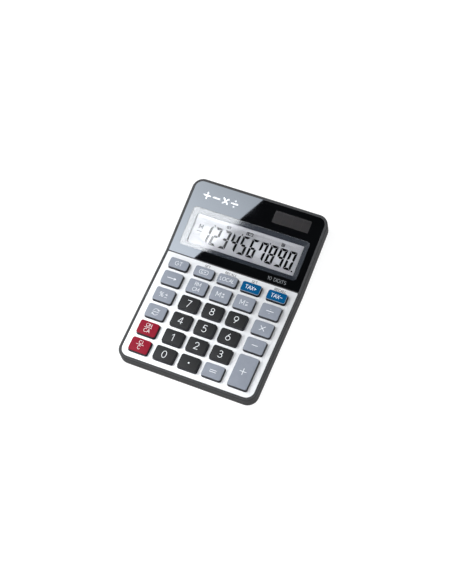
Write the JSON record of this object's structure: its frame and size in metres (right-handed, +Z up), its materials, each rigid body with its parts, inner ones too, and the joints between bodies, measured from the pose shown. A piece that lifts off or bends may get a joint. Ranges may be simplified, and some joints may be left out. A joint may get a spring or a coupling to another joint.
{
  "type": "desk calculator",
  "caption": "Small desk calculator: bent slab case with a metal keyboard plate, sprung keys, a tilted black head with a display window and solar cell, and a sliding battery door.",
  "frame": {"origin": "centre of the footprint on the surface the feet rest on", "axes": "+X to the right, +Y to the back (display end), +Z up"},
  "size_m": [0.104, 0.1446, 0.019],
  "materials": {
    "case_plastic": "fine moulded texture, dark grey",
    "base_plastic": "fine moulded texture, near black",
    "face_aluminium": "satin anodised, fine brushing",
    "key_light": "satin moulded, bluish light grey with darker sides",
    "key_dark": "satin moulded, dark grey with near black sides",
    "key_red": "satin moulded, deep red with near black sides",
    "key_blue": "satin moulded, blue with near black sides",
    "keypad_rubber": "soft silicone",
    "circuit_board": "solder mask over glass fibre",
    "chip_resin": "cured epoxy",
    "component_body": "ceramic body",
    "screw_steel": "plated steel",
    "window_acrylic": "clear polished acrylic",
    "mask_print": "black back-printed ink film",
    "bezel_plastic": "fine moulded texture, dark slate",
    "lcd_glass": "liquid crystal cell with polariser",
    "reflector_film": "silver grey diffusing reflector",
    "frame_plastic": "moulded",
    "ribbon_film": "printed polyester ribbon",
    "solar_glass": "amorphous cell behind glass",
    "foam_pad": "closed cell foam tape",
    "lead_insulation": "vinyl insulated lead",
    "cell_steel": "nickel plated can",
    "contact_metal": "nickel plated spring strip",
    "foot_rubber": "soft rubber"
  },
  "bodies": {
    "case": {"battery_contact_can": "contact_metal", "battery_contact_cap": "contact_metal", "battery_leads": "lead_insulation", "board_components": "component_body", "board_screws": "screw_steel", "case_screws": "screw_steel", "chip_blob": "chip_resin", "coin_cell": "cell_steel", "display_bezel": "bezel_plastic", "display_mask": "mask_print", "display_window": "window_acrylic", "face_plate": "face_aluminium", "lcd_connector": "ribbon_film", "lcd_frame": "frame_plastic", "lcd_front_glass": "lcd_glass", "lcd_rear_glass": "lcd_glass", "lcd_reflector": "reflector_film", "lower_case": "base_plastic", "main_board": "circuit_board", "rubber_feet": "foot_rubber", "rubber_keypad": "keypad_rubber", "solar_backing": "foam_pad", "solar_cell": "solar_glass", "solar_leads": "lead_insulation", "upper_case": "case_plastic"},
    "key_0": {"key_0": "key_dark"},
    "key_1": {"key_1": "key_dark"},
    "key_2": {"key_2": "key_dark"},
    "key_3": {"key_3": "key_dark"},
    "key_4": {"key_4": "key_dark"},
    "key_5": {"key_5": "key_dark"},
    "key_6": {"key_6": "key_dark"},
    "key_7": {"key_7": "key_dark"},
    "key_8": {"key_8": "key_dark"},
    "key_9": {"key_9": "key_dark"},
    "key_back": {"key_back": "key_light"},
    "key_clear_all": {"key_clear_all": "key_red"},
    "key_clear_entry": {"key_clear_entry": "key_red"},
    "key_divide": {"key_divide": "key_light"},
    "key_equals": {"key_equals": "key_light"},
    "key_exchange": {"key_exchange": "key_light"},
    "key_grand_total": {"key_grand_total": "key_light"},
    "key_local": {"key_local": "key_light"},
    "key_memory_minus": {"key_memory_minus": "key_light"},
    "key_memory_plus": {"key_memory_plus": "key_light"},
    "key_memory_recall": {"key_memory_recall": "key_light"},
    "key_minus": {"key_minus": "key_light"},
    "key_percent": {"key_percent": "key_light"},
    "key_plus": {"key_plus": "key_light"},
    "key_point": {"key_point": "key_dark"},
    "key_rate": {"key_rate": "key_light"},
    "key_tax_minus": {"key_tax_minus": "key_blue"},
    "key_tax_plus": {"key_tax_plus": "key_blue"},
    "key_times": {"key_times": "key_light"},
    "battery_door": {"battery_door": "base_plastic"}
  },
  "joints": [
    {"name": "key_0_press", "type": "slide", "parent": "case", "child": "key_0", "axis": [0, 0, -1], "range_m": [0, 0.0014], "stiffness_N_per_m": 300, "springref_m": -0.001, "deforming": ["rubber_keypad"]},
    {"name": "key_1_press", "type": "slide", "parent": "case", "child": "key_1", "axis": [0, 0, -1], "range_m": [0, 0.0014], "stiffness_N_per_m": 300, "springref_m": -0.001, "deforming": ["rubber_keypad"]},
    {"name": "key_2_press", "type": "slide", "parent": "case", "child": "key_2", "axis": [0, 0, -1], "range_m": [0, 0.0014], "stiffness_N_per_m": 300, "springref_m": -0.001, "deforming": ["rubber_keypad"]},
    {"name": "key_3_press", "type": "slide", "parent": "case", "child": "key_3", "axis": [0, 0, -1], "range_m": [0, 0.0014], "stiffness_N_per_m": 300, "springref_m": -0.001, "deforming": ["rubber_keypad"]},
    {"name": "key_4_press", "type": "slide", "parent": "case", "child": "key_4", "axis": [0, 0, -1], "range_m": [0, 0.0014], "stiffness_N_per_m": 300, "springref_m": -0.001, "deforming": ["rubber_keypad"]},
    {"name": "key_5_press", "type": "slide", "parent": "case", "child": "key_5", "axis": [0, 0, -1], "range_m": [0, 0.0014], "stiffness_N_per_m": 300, "springref_m": -0.001, "deforming": ["rubber_keypad"]},
    {"name": "key_6_press", "type": "slide", "parent": "case", "child": "key_6", "axis": [0, 0, -1], "range_m": [0, 0.0014], "stiffness_N_per_m": 300, "springref_m": -0.001, "deforming": ["rubber_keypad"]},
    {"name": "key_7_press", "type": "slide", "parent": "case", "child": "key_7", "axis": [0, 0, -1], "range_m": [0, 0.0014], "stiffness_N_per_m": 300, "springref_m": -0.001, "deforming": ["rubber_keypad"]},
    {"name": "key_8_press", "type": "slide", "parent": "case", "child": "key_8", "axis": [0, 0, -1], "range_m": [0, 0.0014], "stiffness_N_per_m": 300, "springref_m": -0.001, "deforming": ["rubber_keypad"]},
    {"name": "key_9_press", "type": "slide", "parent": "case", "child": "key_9", "axis": [0, 0, -1], "range_m": [0, 0.0014], "stiffness_N_per_m": 300, "springref_m": -0.001, "deforming": ["rubber_keypad"]},
    {"name": "key_back_press", "type": "slide", "parent": "case", "child": "key_back", "axis": [0, 0, -1], "range_m": [0, 0.0014], "stiffness_N_per_m": 300, "springref_m": -0.001, "deforming": ["rubber_keypad"]},
    {"name": "key_clear_all_press", "type": "slide", "parent": "case", "child": "key_clear_all", "axis": [0, 0, -1], "range_m": [0, 0.0014], "stiffness_N_per_m": 300, "springref_m": -0.001, "deforming": ["rubber_keypad"]},
    {"name": "key_clear_entry_press", "type": "slide", "parent": "case", "child": "key_clear_entry", "axis": [0, 0, -1], "range_m": [0, 0.0014], "stiffness_N_per_m": 300, "springref_m": -0.001, "deforming": ["rubber_keypad"]},
    {"name": "key_divide_press", "type": "slide", "parent": "case", "child": "key_divide", "axis": [0, 0, -1], "range_m": [0, 0.0014], "stiffness_N_per_m": 300, "springref_m": -0.001, "deforming": ["rubber_keypad"]},
    {"name": "key_equals_press", "type": "slide", "parent": "case", "child": "key_equals", "axis": [0, 0, -1], "range_m": [0, 0.0014], "stiffness_N_per_m": 300, "springref_m": -0.001, "deforming": ["rubber_keypad"]},
    {"name": "key_exchange_press", "type": "slide", "parent": "case", "child": "key_exchange", "axis": [0, 0, -1], "range_m": [0, 0.0014], "stiffness_N_per_m": 300, "springref_m": -0.001, "deforming": ["rubber_keypad"]},
    {"name": "key_grand_total_press", "type": "slide", "parent": "case", "child": "key_grand_total", "axis": [0, 0, -1], "range_m": [0, 0.0014], "stiffness_N_per_m": 300, "springref_m": -0.001, "deforming": ["rubber_keypad"]},
    {"name": "key_local_press", "type": "slide", "parent": "case", "child": "key_local", "axis": [0, 0, -1], "range_m": [0, 0.0014], "stiffness_N_per_m": 300, "springref_m": -0.001, "deforming": ["rubber_keypad"]},
    {"name": "key_memory_minus_press", "type": "slide", "parent": "case", "child": "key_memory_minus", "axis": [0, 0, -1], "range_m": [0, 0.0014], "stiffness_N_per_m": 300, "springref_m": -0.001, "deforming": ["rubber_keypad"]},
    {"name": "key_memory_plus_press", "type": "slide", "parent": "case", "child": "key_memory_plus", "axis": [0, 0, -1], "range_m": [0, 0.0014], "stiffness_N_per_m": 300, "springref_m": -0.001, "deforming": ["rubber_keypad"]},
    {"name": "key_memory_recall_press", "type": "slide", "parent": "case", "child": "key_memory_recall", "axis": [0, 0, -1], "range_m": [0, 0.0014], "stiffness_N_per_m": 300, "springref_m": -0.001, "deforming": ["rubber_keypad"]},
    {"name": "key_minus_press", "type": "slide", "parent": "case", "child": "key_minus", "axis": [0, 0, -1], "range_m": [0, 0.0014], "stiffness_N_per_m": 300, "springref_m": -0.001, "deforming": ["rubber_keypad"]},
    {"name": "key_percent_press", "type": "slide", "parent": "case", "child": "key_percent", "axis": [0, 0, -1], "range_m": [0, 0.0014], "stiffness_N_per_m": 300, "springref_m": -0.001, "deforming": ["rubber_keypad"]},
    {"name": "key_plus_press", "type": "slide", "parent": "case", "child": "key_plus", "axis": [0, 0, -1], "range_m": [0, 0.0014], "stiffness_N_per_m": 300, "springref_m": -0.001, "deforming": ["rubber_keypad"]},
    {"name": "key_point_press", "type": "slide", "parent": "case", "child": "key_point", "axis": [0, 0, -1], "range_m": [0, 0.0014], "stiffness_N_per_m": 300, "springref_m": -0.001, "deforming": ["rubber_keypad"]},
    {"name": "key_rate_press", "type": "slide", "parent": "case", "child": "key_rate", "axis": [0, 0, -1], "range_m": [0, 0.0014], "stiffness_N_per_m": 300, "springref_m": -0.001, "deforming": ["rubber_keypad"]},
    {"name": "key_tax_minus_press", "type": "slide", "parent": "case", "child": "key_tax_minus", "axis": [0, 0, -1], "range_m": [0, 0.0014], "stiffness_N_per_m": 300, "springref_m": -0.001, "deforming": ["rubber_keypad"]},
    {"name": "key_tax_plus_press", "type": "slide", "parent": "case", "child": "key_tax_plus", "axis": [0, 0, -1], "range_m": [0, 0.0014], "stiffness_N_per_m": 300, "springref_m": -0.001, "deforming": ["rubber_keypad"]},
    {"name": "key_times_press", "type": "slide", "parent": "case", "child": "key_times", "axis": [0, 0, -1], "range_m": [0, 0.0014], "stiffness_N_per_m": 300, "springref_m": -0.001, "deforming": ["rubber_keypad"]},
    {"name": "battery_door_slide", "type": "slide", "parent": "case", "child": "battery_door", "axis": [0, 1, 0], "range_m": [0, 0.014]}
  ]
}
